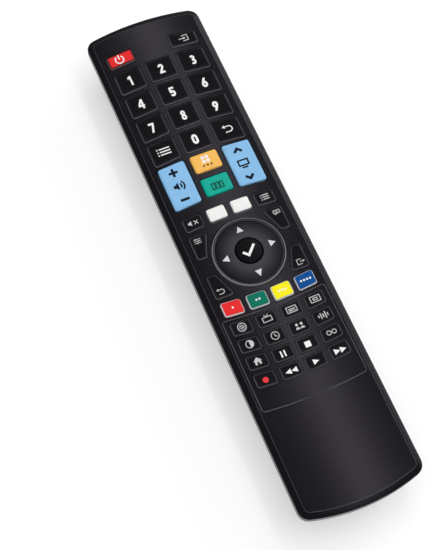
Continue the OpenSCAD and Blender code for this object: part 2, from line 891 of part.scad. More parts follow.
module circuit_board() {
    color("#2d5a33")
        translate([0, 0, board_bottom])
            linear_extrude(board_t)
                difference() {
                    translate([-board_half_w, board_y0])
                        square([2 * board_half_w, board_y1 - board_y0]);
                    for (place = post_places)
                        translate(place)
                            circle(r = pin_r + fit_gap);
                    translate(upper_screw)
                        circle(r = boss_r + tilt_gap);
                }
}

// Chip with its legs, crystal, capacitor and resistors, all hanging under the board
module board_components() {
    leg_pitch = chip_l / 8;
    leg = [leg_pitch * 0.8, leg_pitch * 0.4, chip_t * 0.45];
    crystal = [crystal_l, crystal_l * 0.4, can_r * 1.2];
    resistor = [leg_pitch * 1.3, leg_pitch * 0.8, chip_t / 2];
    color("#3b3b3f")
        translate([0, ring_y, board_bottom]) {
            translate([-chip_w / 2, chip_l / 2, -chip_t])
                cube([chip_w, chip_l, chip_t]);
            for (i = [1 : 7], side = [-1, 1])
                translate([side * chip_w / 2 - leg.x / 2, chip_l / 2 + i * leg_pitch - leg.y / 2, -leg.z])
                    cube(leg);
            translate([can_l, -can_r, -can_r])
                rotate([0, 90, 0])
                    cylinder(r = can_r, h = can_l);
            translate([-1.5 * crystal.x, -crystal.y, -crystal.z])
                cube(crystal);
            for (i = [0 : 3])
                translate([(2 * i - 5) * resistor.x, -chip_l, -resistor.z])
                    cube(resistor);
        }
}

// Infrared lamp lying on the end of the board, with its two leads
module ir_led() {
    lead = led_r / 3;
    lead_x = led_r * 0.43;
    base_y = board_y1 + mat_inset * 0.65;
    lead_y = board_y1 - lead;
    collar_h = led_l / 7;
    color("#8c8aa8") {
        translate([0, base_y, led_z])
            rotate([-90, 0, 0]) {
                cylinder(r = led_r, h = led_l - led_r);
                translate([0, 0, led_l - led_r])
                    sphere(r = led_r);
                cylinder(r = led_r + fit_gap, h = collar_h);
            }
        for (side = [-1, 1]) {
            box(
                [side * lead_x - lead / 2, lead_y, led_z - lead / 2],
                [side * lead_x + lead / 2, base_y + collar_h / 2, led_z + lead / 2]
            );
            box(
                [side * lead_x - lead / 2, lead_y, board_top],
                [side * lead_x + lead / 2, lead_y + lead, led_z]
            );
        }
    }
}

// Dark window in the end wall, held by a lip behind the front cover
module ir_window() {
    module band(d0, d1, half) {
        intersection() {
            difference() {
                case_shape(d0);
                case_shape(d1);
            }
            translate([-half, 0])
                square([2 * half, body_l]);
        }
    }
    color("#2a1418")
        translate([0, 0, window_z0]) {
            linear_extrude(window_h)
                band(0, window_depth, window_w / 2);
            linear_extrude(min(window_h, ceiling_z - fit_gap - window_z0))
                band(front_wall + fit_gap, window_depth, window_w / 2 + window_lip);
        }
}

// Two AAA cells, head to tail
module cell() {
    nub_r = 1.9;
    nub_h = 1;
    edge = 0.4;
    section = [
        [0, 0],
        [cell_r - edge, 0],
        [cell_r, edge],
        [cell_r, cell_l - nub_h - edge],
        [cell_r - edge, cell_l - nub_h],
        [nub_r, cell_l - nub_h],
        [nub_r, cell_l],
        [0, cell_l]
    ];
    rotate_extrude()
        polygon(section);
}

module batteries() {
    play = fit_gap / 2;
    color("#b9bcc2") {
        translate([-cell_x, bay_y1 - contact_t - play, cell_z])
            rotate([90, 0, 0])
                translate([0, 0, cell_l])
                    mirror([0, 0, 1])
                        cell();
        translate([cell_x, bay_y0 + contact_t + play + cell_l, cell_z])
            rotate([90, 0, 0])
                cell();
    }
}

// Conical contact spring, standing on its wide end
spring_base_r = 3.9;
spring_tip_r = 2.2;
curl_steps = 8;
wire_sides = 6;
spring_rings = spring_turns * curl_steps;
function spring_centre(i) =
    let (t = i / spring_rings, r = spring_base_r + (spring_tip_r - spring_base_r) * t)
    let (a = 360 * i / curl_steps)
    [r * cos(a), r * sin(a), wire_r / 2 + (spring_l - 1.5 * wire_r) * t];
function spring_ring(i) =
    let (a = 360 * i / curl_steps, centre = spring_centre(i))
    [
        for (k = [0 : wire_sides - 1])
            let (b = -360 * k / wire_sides)
            centre + wire_r * [cos(b) * cos(a), cos(b) * sin(a), sin(b)]
    ];
spring_gap = min([
    for (i = [0 : spring_rings], j = [i + 5 : 1 : spring_rings])
        norm(spring_centre(i) - spring_centre(j))
]) - 2 * wire_r;
echo(spring_least_gap = spring_gap);

module contact_spring() {
    ring_loft([for (i = [0 : spring_rings]) spring_ring(i)]);
}

// Contact plates: one link across the battery end, and two plates with tabs up to the board
module battery_contacts() {
    plate_x = bay_x - slide_gap;
    color("#c9c4b0") {
        box([-plate_x, bay_y0, contact_z0], [plate_x, bay_y0 + contact_t, contact_z1]);
        translate([-cell_x, bay_y0 + contact_t, cell_z])
            rotate([-90, 0, 0])
                contact_spring();
        both_sides() {
            box([0.6, bay_y1 - contact_t, contact_z0], [plate_x, bay_y1, contact_z1]);
            box(
                [cell_x - contact_tab_w / 2, bay_y1 - contact_t, contact_z1 - 1],
                [cell_x + contact_tab_w / 2, bay_y1, board_bottom]
            );
        }
        translate([cell_x, bay_y1 - contact_t, cell_z])
            rotate([90, 0, 0])
                contact_spring();
    }
}

// Three screws with crossed slots: one in the belly, two under the battery door
module case_screws() {
    slot_w = 0.6;
    slot_l = 2.6;
    slot_h = 0.8;
    color("#8f9094")
        for (place = screw_places)
            translate([place.x, place.y, screw_seat_z])
                difference() {
                    union() {
                        translate([0, 0, -screw_head_h])
                            cylinder(r = screw_head_r, h = screw_head_h);
                        cylinder(r = screw_r, h = screw_l);
                    }
                    for (turn = [0, 90])
                        rotate(turn)
                            translate([0, 0, -screw_head_h])
                                cube([slot_l, slot_w, 2 * slot_h], center = true);
                }
}

front_cover();
rear_cover();
battery_door();
keypad_mat();
circuit_board();
board_components();
ir_led();
ir_window();
battery_contacts();
batteries();
case_screws();
ring_cushion();
direction_ring();
ok_key();
for (key = ROCKERS) rocker(key);
for (key = PRESS_KEYS) press_key(key);
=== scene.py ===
# Universal remote control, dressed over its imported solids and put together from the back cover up.
# It lies on its back: +Z is up out of the face and +Y points to the infrared end.
# Sizes are in metres, apart from the outlines of prints, which are in millimetres.
import json
import math

import bpy
from mathutils import Matrix, Vector

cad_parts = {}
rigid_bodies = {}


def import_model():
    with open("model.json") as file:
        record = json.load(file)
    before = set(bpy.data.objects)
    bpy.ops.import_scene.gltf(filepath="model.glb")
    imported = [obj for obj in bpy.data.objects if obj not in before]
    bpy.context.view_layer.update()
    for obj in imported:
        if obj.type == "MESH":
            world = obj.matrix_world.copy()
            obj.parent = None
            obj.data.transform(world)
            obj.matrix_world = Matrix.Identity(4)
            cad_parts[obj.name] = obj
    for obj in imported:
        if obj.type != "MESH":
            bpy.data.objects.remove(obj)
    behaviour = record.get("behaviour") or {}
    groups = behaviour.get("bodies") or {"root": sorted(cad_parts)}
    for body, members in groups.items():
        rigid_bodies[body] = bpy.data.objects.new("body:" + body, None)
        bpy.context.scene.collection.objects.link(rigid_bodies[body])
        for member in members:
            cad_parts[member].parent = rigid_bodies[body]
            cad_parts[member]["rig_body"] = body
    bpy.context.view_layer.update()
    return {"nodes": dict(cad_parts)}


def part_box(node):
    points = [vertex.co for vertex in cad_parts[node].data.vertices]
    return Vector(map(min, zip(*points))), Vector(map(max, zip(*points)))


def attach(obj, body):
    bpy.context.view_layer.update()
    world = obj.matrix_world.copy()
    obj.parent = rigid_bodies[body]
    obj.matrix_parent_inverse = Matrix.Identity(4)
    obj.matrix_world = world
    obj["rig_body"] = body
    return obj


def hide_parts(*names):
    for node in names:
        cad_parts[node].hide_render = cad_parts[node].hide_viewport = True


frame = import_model()
bpy.context.scene.view_settings.view_transform = "Standard"


# Rear cover: the boat-shaped lower half of the case, injection moulded in black ABS.
# The tool that moulds it is spark eroded, so the plastic has a fine even grain and a satin finish.
# Three screws draw it up against the front cover.

def shade(red, green, blue):
    # Display values from 0 to 255, as the linear colour that a shader takes
    display = [value / 255 for value in (red, green, blue)]
    return (*(((v + 0.055) / 1.055) ** 2.4 if v > 0.04 else v / 12.92 for v in display), 1.0)


def moulded_plastic(name, colour, roughness, grain=0.00022, depth=0.35, mottle=0.12, gloss=0.5,
                    cast=(1, 1, 1)):
    # Satin plastic: a slow drift in tone, and the grain of the mould in its roughness and relief
    drift_scale, satin_spread, grain_height = 70, 0.05, 0.00001
    material = bpy.data.materials.new(name)
    material.use_nodes = True
    nodes, links = material.node_tree.nodes, material.node_tree.links
    shader = nodes["Principled BSDF"]
    shader.inputs["Specular IOR Level"].default_value = gloss
    shader.inputs["Specular Tint"].default_value = (*cast, 1)
    place = nodes.new("ShaderNodeTexCoord")
    drift = nodes.new("ShaderNodeTexNoise")
    drift.inputs["Scale"].default_value = drift_scale
    drift.inputs["Detail"].default_value = 3
    links.new(place.outputs["Object"], drift.inputs["Vector"])
    tone = nodes.new("ShaderNodeValToRGB")
    for stop, position, level in zip(tone.color_ramp.elements, (0.3, 0.7), (1 - mottle, 1 + mottle)):
        stop.color = (*(min(1.0, v * level) for v in colour[:3]), 1)
        stop.position = position
    links.new(drift.outputs["Fac"], tone.inputs["Fac"])
    links.new(tone.outputs["Color"], shader.inputs["Base Color"])
    speck = nodes.new("ShaderNodeTexNoise")
    speck.inputs["Scale"].default_value = 1 / grain
    speck.inputs["Detail"].default_value = 2
    links.new(place.outputs["Object"], speck.inputs["Vector"])
    satin = nodes.new("ShaderNodeMapRange")
    satin.inputs["To Min"].default_value = roughness - satin_spread
    satin.inputs["To Max"].default_value = roughness + satin_spread
    links.new(speck.outputs["Fac"], satin.inputs["Value"])
    links.new(satin.outputs["Result"], shader.inputs["Roughness"])
    relief = nodes.new("ShaderNodeBump")
    relief.inputs["Strength"].default_value = depth
    relief.inputs["Distance"].default_value = grain_height
    links.new(speck.outputs["Fac"], relief.inputs["Height"])
    links.new(relief.outputs["Normal"], shader.inputs["Normal"])
    return material


def work_on(piece):
    # Make the piece the only one that the operators act on
    bpy.ops.object.select_all(action="DESELECT")
    bpy.context.view_layer.objects.active = piece
    piece.select_set(True)


def moulding(node, *finishes):
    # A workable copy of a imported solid: loose triangles merged, flat faces made whole again
    piece = bpy.data.objects.new(node + "_moulding", frame["nodes"][node].data.copy())
    bpy.context.collection.objects.link(piece)
    piece.data.materials.clear()
    for finish in finishes:
        piece.data.materials.append(finish)
    work_on(piece)
    bpy.ops.object.mode_set(mode="EDIT")
    bpy.ops.mesh.select_all(action="SELECT")
    bpy.ops.mesh.remove_doubles(threshold=0.000001)
    bpy.ops.mesh.dissolve_limited(angle_limit=math.radians(0.05))
    bpy.ops.mesh.customdata_custom_splitnormals_clear()
    bpy.ops.object.mode_set(mode="OBJECT")
    return piece


def fit(piece, node, smooth=30):
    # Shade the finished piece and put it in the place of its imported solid, on the same body
    work_on(piece)
    bpy.ops.object.shade_smooth_by_angle(angle=math.radians(smooth))
    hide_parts(node)
    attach(piece, frame["nodes"][node]["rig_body"])


rear_black = moulded_plastic("rear_black_abs", shade(20, 19, 22), 0.5, grain=0.0003, depth=0.7, gloss=0.3)
fit(moulding("rear_cover", rear_black), "rear_cover")


# Battery contacts: nickel-plated spring steel plates with conical springs. Two have tabs up to the board,
# through slots in the bay. The plating has fine drawing lines along the strip.

def plated_metal(name, colour, roughness, line):
    # Bright metal whose polish varies in fine lines, given as the fineness of the pattern along each axis
    polish_spread = 0.12
    material = bpy.data.materials.new(name)
    material.use_nodes = True
    nodes, links = material.node_tree.nodes, material.node_tree.links
    shader = nodes["Principled BSDF"]
    shader.inputs["Metallic"].default_value = 1.0
    shader.inputs["Base Color"].default_value = colour
    place = nodes.new("ShaderNodeTexCoord")
    stretch = nodes.new("ShaderNodeMapping")
    stretch.inputs["Scale"].default_value = line
    scratch = nodes.new("ShaderNodeTexNoise")
    scratch.inputs["Scale"].default_value = 1.0
    links.new(place.outputs["Object"], stretch.inputs["Vector"])
    links.new(stretch.outputs["Vector"], scratch.inputs["Vector"])
    polish = nodes.new("ShaderNodeMapRange")
    polish.inputs["To Min"].default_value = roughness - polish_spread
    polish.inputs["To Max"].default_value = roughness + polish_spread
    links.new(scratch.outputs["Fac"], polish.inputs["Value"])
    links.new(polish.outputs["Result"], shader.inputs["Roughness"])
    return material


nickel = plated_metal("nickel_plate", shade(214, 208, 192), 0.3, (300, 8000, 8000))
fit(moulding("battery_contacts", nickel), "battery_contacts", smooth=62)


# Batteries: two AAA cells, head to tail. Each is a steel can in a slate-blue shrink sleeve,
# with a pale ring near its plus end and bare metal at both ends.

cell_low, cell_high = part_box("batteries")
cell_mid = (cell_low.y + cell_high.y) / 2
cell_half_l = (cell_high.y - cell_low.y) / 2
slate, ring_white, can_steel = shade(62, 84, 112), shade(214, 216, 218), shade(196, 198, 200)
sleeve = bpy.data.materials.new("cell_sleeve")
sleeve.use_nodes = True
nodes, links = sleeve.node_tree.nodes, sleeve.node_tree.links
place = nodes.new("ShaderNodeTexCoord")
parts = nodes.new("ShaderNodeSeparateXYZ")
links.new(place.outputs["Object"], parts.inputs["Vector"])
way = nodes.new("ShaderNodeMath")
way.operation = "SIGN"
links.new(parts.outputs["X"], way.inputs[0])
middle = nodes.new("ShaderNodeMath")
middle.operation = "SUBTRACT"
middle.inputs[1].default_value = cell_mid
links.new(parts.outputs["Y"], middle.inputs[0])
along = nodes.new("ShaderNodeMath")
along.operation = "MULTIPLY"
links.new(way.outputs["Value"], along.inputs[0])
links.new(middle.outputs["Value"], along.inputs[1])
length = nodes.new("ShaderNodeMapRange")
length.inputs["From Min"].default_value = -cell_half_l
length.inputs["From Max"].default_value = cell_half_l
links.new(along.outputs["Value"], length.inputs["Value"])
bands = nodes.new("ShaderNodeValToRGB")
bands.color_ramp.interpolation = "CONSTANT"
for position, colour in ((0.05, slate), (0.2, ring_white), (0.24, slate), (0.94, can_steel)):
    stop = bands.color_ramp.elements.new(position)
    stop.color = colour
bands.color_ramp.elements[0].color = can_steel
bands.color_ramp.elements.remove(bands.color_ramp.elements[-1])
links.new(length.outputs["Result"], bands.inputs["Fac"])
links.new(bands.outputs["Color"], nodes["Principled BSDF"].inputs["Base Color"])
nodes["Principled BSDF"].inputs["Roughness"].default_value = 0.28
fit(moulding("batteries", sleeve), "batteries", smooth=35)


# Circuit board: glass-epoxy sheet under green solder resist, resting on the rear cover's posts.
# Copper tracks show through the resist as paler lines, and a pair of gold pads lies bare under each key.

def arc(x, y, r, start, end, steps=28):
    turns = [math.radians(start + (end - start) * i / steps) for i in range(steps + 1)]
    return [(x + r * math.cos(a), y + r * math.sin(a)) for a in turns]


def disc(x, y, r):
    return arc(x, y, r, 0, 360)[:-1]


def ink_film(outlines, half_thick):
    # A flat film about the origin: closed outlines in millimetres, filled, with those inside left open
    curve = bpy.data.curves.new("ink_film", "CURVE")
    curve.dimensions = "2D"
    curve.fill_mode = "BOTH"
    curve.extrude = half_thick
    for outline in outlines:
        line = curve.splines.new("POLY")
        line.points.add(len(outline) - 1)
        for point, (x, y) in zip(line.points, outline):
            point.co = (x / 1000, y / 1000, 0, 1)
        line.use_cyclic_u = True
    film = bpy.data.objects.new("ink_film", curve)
    bpy.context.collection.objects.link(film)
    work_on(film)
    bpy.ops.object.convert(target="MESH")
    bpy.ops.object.mode_set(mode="EDIT")
    bpy.ops.mesh.select_all(action="SELECT")
    bpy.ops.mesh.dissolve_degenerate(threshold=0.000001)
    bpy.ops.object.mode_set(mode="OBJECT")
    return bpy.context.object


def lay_film(piece, film, ink):
    # Give the film its ink and join it on to the piece that it lies on
    film.data.materials.clear()
    film.data.materials.append(ink)
    work_on(piece)
    film.select_set(True)
    bpy.ops.object.join()


def screen_print(piece, marks, centre, ink):
    # Ink on the flat top of a piece, with its outlines drawn about the centre
    film = ink_film(marks, half_thick=0.000025)
    film.data.transform(Matrix.Translation(centre))
    lay_film(piece, film, ink)


resist_green = shade(34, 92, 48)
board_resist = moulded_plastic("board_resist", resist_green, 0.35, mottle=0.25)
nodes, links = board_resist.node_tree.nodes, board_resist.node_tree.links
tracks = nodes.new("ShaderNodeTexBrick")
tracks.inputs["Scale"].default_value = 300
tracks.inputs["Mortar Size"].default_value = 0.06
tracks.inputs["Color1"].default_value = resist_green
tracks.inputs["Color2"].default_value = shade(30, 84, 44)
tracks.inputs["Mortar"].default_value = shade(72, 132, 70)
place = next(n for n in nodes if n.type == "TEX_COORD")
links.new(place.outputs["Object"], tracks.inputs["Vector"])
links.new(tracks.outputs["Color"], nodes["Principled BSDF"].inputs["Base Color"])
board = moulding("circuit_board", board_resist)
pad_gold = plated_metal("pad_gold", shade(206, 164, 88), 0.35, (4000, 4000, 4000))
pad_r, pad_half_gap, rocker_reach, ring_reach = 1.6, 0.12, 6, 10
pads = []
for node in frame["nodes"]:
    low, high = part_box(node)
    x, y = (low.x + high.x) / 2 * 1000, (low.y + high.y) / 2 * 1000
    places = []
    if node.endswith("_key") or node.startswith("key_"):
        places = [(x, y)]
    elif node.endswith("_rocker"):
        places = [(x, y - rocker_reach), (x, y + rocker_reach)]
    elif node == "direction_ring":
        places = [(x - ring_reach, y), (x + ring_reach, y), (x, y - ring_reach), (x, y + ring_reach)]
    for x, y in places:
        pads.append(arc(x + pad_half_gap, y, pad_r, -90, 90, 12))
        pads.append(arc(x - pad_half_gap, y, pad_r, 90, 270, 12))
screen_print(board, pads, Vector((0, 0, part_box("circuit_board")[1].z)), pad_gold)
fit(board, "circuit_board")


# Board components, soldered on underneath: a chip moulded in black epoxy with tinned legs,
# a crystal in a steel can, a capacitor in a blue sleeve and four chip resistors.
# They lie round the middle of the direction ring, which is the origin of the places below.

component_epoxy = moulded_plastic("component_epoxy", shade(36, 35, 38), 0.55, grain=0.0001, mottle=0.3)
tin = plated_metal("tin_plate", shade(196, 197, 200), 0.35, (2000, 2000, 2000))
sleeve_blue = moulded_plastic("capacitor_sleeve", shade(28, 44, 96), 0.3, mottle=0.08)
components = moulding("board_components", component_epoxy, tin, sleeve_blue)
ring_low, ring_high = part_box("direction_ring")
ring_centre = (ring_low + ring_high) / 2
chip_half_w, chip_near_y, slack = 0.00375, 0.004, 0.0001
can_near_x, crystal_far_y, capacitor_far_y = 0.003, -0.005, -0.007
for face in components.data.polygons:
    x, y = face.center.x - ring_centre.x, face.center.y - ring_centre.y
    is_leg = y > chip_near_y and abs(x) > chip_half_w + slack
    is_crystal = x < -can_near_x and crystal_far_y < y < 0
    is_capacitor = x > can_near_x and capacitor_far_y < y < 0
    face.material_index = 2 if is_capacitor else int(is_leg or is_crystal)
fit(components, "board_components")


# Keypad mat and ring cushion: dark silicone rubber, compression moulded.
# They lie loose between the board and the keys.

silicone = moulded_plastic("silicone_rubber", shade(52, 52, 56), 0.7, grain=0.0004, gloss=0.3)
for node in ("keypad_mat", "ring_cushion"):
    fit(moulding(node, silicone), node)


# Infrared lamp: clear epoxy with a bluish tint, cast round two tinned leads.
# The leads are soldered to the end of the board, so that the lens looks out along the remote.

lead_l = 0.0011
lamp_epoxy = moulded_plastic("lamp_epoxy", shade(176, 178, 206), 0.12, grain=0.001, mottle=0.08)
lamp_epoxy.node_tree.nodes["Principled BSDF"].inputs["Transmission Weight"].default_value = 0.6
lamp = moulding("ir_led", lamp_epoxy, tin)
lens_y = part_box("ir_led")[0].y + lead_l
for face in lamp.data.polygons:
    face.material_index = int(face.center.y < lens_y)
fit(lamp, "ir_led", smooth=40)


# Infrared window: moulded polycarbonate, so dark a red that it looks black.
# It is held behind the front cover's end wall.

window_red = moulded_plastic("window_dark_red", shade(40, 14, 18), 0.14, grain=0.002, depth=0.1, mottle=0.2)
fit(moulding("ir_window", window_red), "ir_window")


# Case screws: zinc-plated steel with crossed slots in their heads.
# They are driven up through wells in the back, into the front cover.

zinc = plated_metal("zinc_plate", shade(168, 170, 176), 0.38, (3000, 3000, 600))
fit(moulding("case_screws", zinc), "case_screws", smooth=35)


# Battery door: a panel moulded in the same black ABS as the rear cover.
# It has grip bars across its thumb place and slides off the battery end.

door_black = moulded_plastic("door_black_abs", shade(20, 19, 22), 0.5, grain=0.0003, depth=0.7, gloss=0.3)
fit(moulding("battery_door", door_black), "battery_door")


# Front cover: the upper half of the case, moulded in black ABS, with a crowned semi-gloss face.
# A fine paler line is painted along the crease where the face meets the bevel all round it, as a painted
# highlight.

def bevel_where(piece, first, second, width, segments=1, finish=-1, weld=0.0):
    # Bevel the edges where a face that passes the first test meets a face that passes the second.
    # Points along them that lie closer than the weld are merged first, as they would narrow the bevel.
    mesh = piece.data
    beside = {}
    for face in mesh.polygons:
        for key in face.edge_keys:
            beside.setdefault(key, []).append(face)
    mesh.polygons.foreach_set("select", [False] * len(mesh.polygons))
    mesh.vertices.foreach_set("select", [False] * len(mesh.vertices))
    for edge in mesh.edges:
        pair = beside.get(edge.key, ())
        edge.select = len(pair) == 2 and (
            first(pair[0]) and second(pair[1]) or first(pair[1]) and second(pair[0]))
    work_on(piece)
    bpy.context.tool_settings.mesh_select_mode = (False, True, False)
    bpy.ops.object.mode_set(mode="EDIT")
    bpy.ops.mesh.remove_doubles(threshold=weld)
    bpy.ops.mesh.bevel(
        offset=width, offset_type="OFFSET", segments=segments, material=finish, clamp_overlap=True)
    bpy.ops.object.mode_set(mode="OBJECT")


def is_top(face):
    return face.normal.z > 0.995


def is_slope(face):
    return 0.8 < face.normal.z < 0.97


def is_wall(face):
    return abs(face.normal.z) < 0.1


violet_cast = (0.92, 0.86, 1.0)
face_black = moulded_plastic(
    "face_black_abs", shade(12, 10, 14), 0.22, depth=0.15, gloss=0.3, cast=violet_cast)
# The paler grey laid along the crease is a painted highlight
crease_highlight_grey = moulded_plastic("crease_painted_highlight", shade(60, 58, 64), 0.35)
crease_w, crease_weld, bevel_edge_w = 0.0001, 0.00025, 0.0003
front_cover = moulding("front_cover", face_black, crease_highlight_grey)
bevel_where(front_cover, is_top, is_slope, crease_w, finish=1, weld=crease_weld)
bevel_where(front_cover, is_slope, is_wall, bevel_edge_w, segments=3)
face_half_w, face_rise = 0.0219, 0.0005
crown_r = (face_half_w ** 2 + face_rise ** 2) / (2 * face_rise)
face_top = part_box("front_cover")[1].z

# A fine grey line is printed over the crown, round the function keys and the bare strip below them.
panel_grey = moulded_plastic("panel_line_ink", shade(76, 74, 80), 0.5, grain=0.00008, depth=0.15)
panel_half_w, panel_top, panel_low, panel_bow = 21.02, -27.6, -65.1, 1.3
panel_corner_r, panel_line_w, line_half_thick = 0.8, 0.28, 0.00001
panel_outlines = []
for inset in (0, panel_line_w):
    half, round_r = panel_half_w - inset, panel_corner_r - inset
    steps = [(half - round_r) * i / 12 for i in range(-12, 13)]
    sides = ((panel_top - inset, -round_r, steps), (panel_low + inset, round_r, steps[::-1]))
    outline = []
    for y, down, across in sides:
        start, end = ((math.copysign(half, x), y + panel_bow + down) for x in (across[0], across[-1]))
        outline += [start, *((x, y + panel_bow * (x / half) ** 2) for x in across), end]
    panel_outlines.append(outline)
panel_line = ink_film(panel_outlines, line_half_thick)
for vertex in panel_line.data.vertices:
    vertex.co.z += face_top - crown_r + math.sqrt(crown_r ** 2 - vertex.co.x ** 2) + line_half_thick
lay_film(front_cover, panel_line, panel_grey)
fit(front_cover, "front_cover", smooth=10)

# The key holes break the crown into uneven strips, so the face takes the true normals of its cylinder.
mesh = front_cover.data
normals = [corner.vector.copy() for corner in mesh.corner_normals]
for face in mesh.polygons:
    if is_top(face) and face.center.z > face_top - 2 * face_rise:
        for corner in face.loop_indices:
            x = mesh.vertices[mesh.loops[corner].vertex_index].co.x
            normals[corner] = Vector((x, 0, math.sqrt(crown_r ** 2 - x ** 2))) / crown_r
mesh.normals_split_custom_set(normals)


# Black number keys: hard ABS caps, moulded with a flat top, a sloping shoulder and a stem through the mat.
# A fine grey line round the foot of the shoulder is a painted highlight, and the digits are screen printed
# in white.

def band(x, y, r, width, start, end):
    return arc(x, y, r + width / 2, start, end) + arc(x, y, r - width / 2, end, start)


def bar(x0, y0, x1, y1):
    return [(x0, y0), (x1, y0), (x1, y1), (x0, y1)]


def stroke(points, width):
    # Outline of a pen line through the points, with mitred corners
    left, right = [], []
    for i, point in enumerate(points):
        here = Vector(point)
        before = (here - Vector(points[i - 1])).normalized() if i else None
        after = (Vector(points[i + 1]) - here).normalized() if i + 1 < len(points) else None
        way = ((before or after) + (after or before)).normalized()
        side = Vector((-way.y, way.x)) * width / 2 / max(0.5, way.dot(after or before))
        left.append(tuple(here + side))
        right.append(tuple(here - side))
    return left + right[::-1]


def placed(marks, x, y, wide=1.0):
    # The same outlines, made wider or slimmer and moved
    return [[(px * wide + x, py + y) for px, py in outline] for outline in marks]


def top_centre(node):
    low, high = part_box(node)
    return Vector(((low.x + high.x) / 2, (low.y + high.y) / 2, high.z))


def printed_key(node, finishes, *prints, foot_line=0.00025, top_edge=0.00012):
    # A key with its top, its shoulder and the line round its foot in their own finishes; on most keys that
    # line is a painted highlight.
    # Its top edge is softened, and each print on it is a list of outlines with their ink.
    piece = moulding(node, *finishes)
    for face in piece.data.polygons:
        face.material_index = int(not is_top(face))
    bevel_where(piece, is_slope, is_wall, foot_line, finish=2)
    bevel_where(piece, is_top, is_slope, top_edge, segments=2)
    for marks, ink in prints:
        screen_print(piece, marks, top_centre(node), ink)
    fit(piece, node, smooth=25)


key_black = moulded_plastic(
    "key_black_abs", shade(12, 10, 13), 0.5, grain=0.00012, gloss=0.12, cast=violet_cast)
shoulder_black = moulded_plastic("key_shoulder_abs", shade(24, 22, 26), 0.45, grain=0.00012, gloss=0.2)
# Pale grey painted round the foot of the keys as a painted highlight
foot_highlight_grey = moulded_plastic("key_foot_painted_highlight", shade(104, 102, 108), 0.45, grain=0.00012, gloss=0.2)
black_cap = (key_black, shoulder_black, foot_highlight_grey)
white_ink = moulded_plastic(
    "white_ink", shade(240, 240, 240), 0.5, grain=0.00008, depth=0.15, mottle=0.03)

# Block numerals 4.4 mm tall, each an outline with its counters
six = [arc(0, -0.75, 1.45, 70, -205) + [(0.1, 2.2), (1.25, 2.2)], disc(0, -0.75, 0.42)]
numerals = {
    "1": [[(-0.1, -2.2), (0.85, -2.2), (0.85, 2.2), (0.05, 2.2), (-1, 1.5), (-1, 0.6), (-0.1, 1.1)]],
    "2": [arc(0, 0.85, 1.35, 175, -35)
          + [(0.12, -1.3), (1.4, -1.3), (1.4, -2.2), (-1.4, -2.2), (-1.4, -1.5)]
          + arc(0, 0.85, 0.36, -40, 175)],
    "3": [arc(-0.05, 1, 1.2, 155, -47) + arc(-0.05, -0.9, 1.3, 51, -155)
          + arc(-0.05, -0.9, 0.34, -155, 90) + [(-0.5, -0.48), (-0.5, 0.66)]
          + arc(-0.05, 1, 0.28, -90, 155)],
    "4": [[(0.15, -2.2), (1.1, -2.2), (1.1, -1.2), (1.55, -1.15), (1.55, -0.5), (1.1, -0.45),
           (1.1, 2.2), (0.05, 2.2), (-1.6, -0.35), (-1.6, -1.25), (0.15, -1.25)],
          [(0.15, -0.4), (0.15, 0.75), (-0.6, -0.4)]],
    "5": [[(-1.2, 2.2), (1.2, 2.2), (1.2, 1.3), (-0.38, 1.3), (-0.42, 0.66)]
          + arc(-0.05, -0.75, 1.45, 100, -155) + arc(-0.05, -0.75, 0.42, -155, 150) + [(-1.35, -0.35)]],
    "6": six,
    "7": [[(-1.4, 2.2), (1.4, 2.2), (1.4, 1.45), (0.1, -2.2), (-0.95, -2.2), (0.3, 1.25), (-1.4, 1.25)]],
    "8": [arc(0, 1.02, 1.18, -50, 230) + arc(0, -0.92, 1.28, 126, 414),
          disc(0, 1.02, 0.34), disc(0, -0.92, 0.42)],
    "9": [[(-x, -y) for x, y in outline] for outline in six],
    "0": [arc(0, 0.7, r, 0, 180) + arc(0, -0.7, r, 180, 360) for r in (1.5, 0.42)],
}
digit_x, digit_y, digit_wide = -0.2, -0.2, 0.82
for digit, marks in numerals.items():
    printed_key("key_" + digit, black_cap, (placed(marks, digit_x, digit_y, digit_wide), white_ink))


# Guide, previous channel and source keys: the same black caps, with plain signs in white.
# The small sign of the source key is printed in a thinner, greyer ink.

def list_lines(width, pitch, weight):
    # Three lines of a list, each with a dot before it
    rows = []
    for y in (pitch, 0, -pitch):
        rows.append(disc(-width / 2 + weight / 2, y, weight * 0.6))
        rows.append(bar(-width / 2 + weight * 2, y - weight / 2, width / 2, y + weight / 2))
    return rows


def turn_back(size, weight):
    # An arrow that comes back round to the left
    r, neck, barb = size * 0.3, -size * 0.21, weight * 1.9
    line = [(-size * 0.3, -r), *arc(size * 0.14, 0, r, -90, 90, 16), (-size * 0.2, r)]
    return [stroke(line, weight), [(-size * 0.5, r), (neck, r + barb), (neck, r - barb)]]


def arrow_box(size, weight, side=1):
    # A box to the right for side 1 or the left for -1, open on its other side, with an arrow to the right
    near, far, h = -side * size * 0.1, side * size * 0.5, size * 0.34
    tail, shift = (-0.5, 0) if side > 0 else (-0.35, size * 0.24)
    head = [(0.02, -0.5), (0.02, -1.7), (0.3, 0), (0.02, 1.7), (0.02, 0.5)]
    arrow = [(px * size + shift, py * weight) for px, py in [(tail, -0.5), *head, (tail, 0.5)]]
    return [stroke([(near, h), (far, h), (far, -h), (near, -h)], weight), arrow]


grey_ink = moulded_plastic("grey_ink", shade(200, 200, 202), 0.5, grain=0.00008, depth=0.15, mottle=0.04)
printed_key("guide_key", black_cap, (list_lines(5.4, 1.25, 0.5), white_ink))
printed_key("previous_channel_key", black_cap, (turn_back(4.2, 0.42), white_ink))
printed_key("source_key", black_cap, (arrow_box(3.8, 0.34), grey_ink))
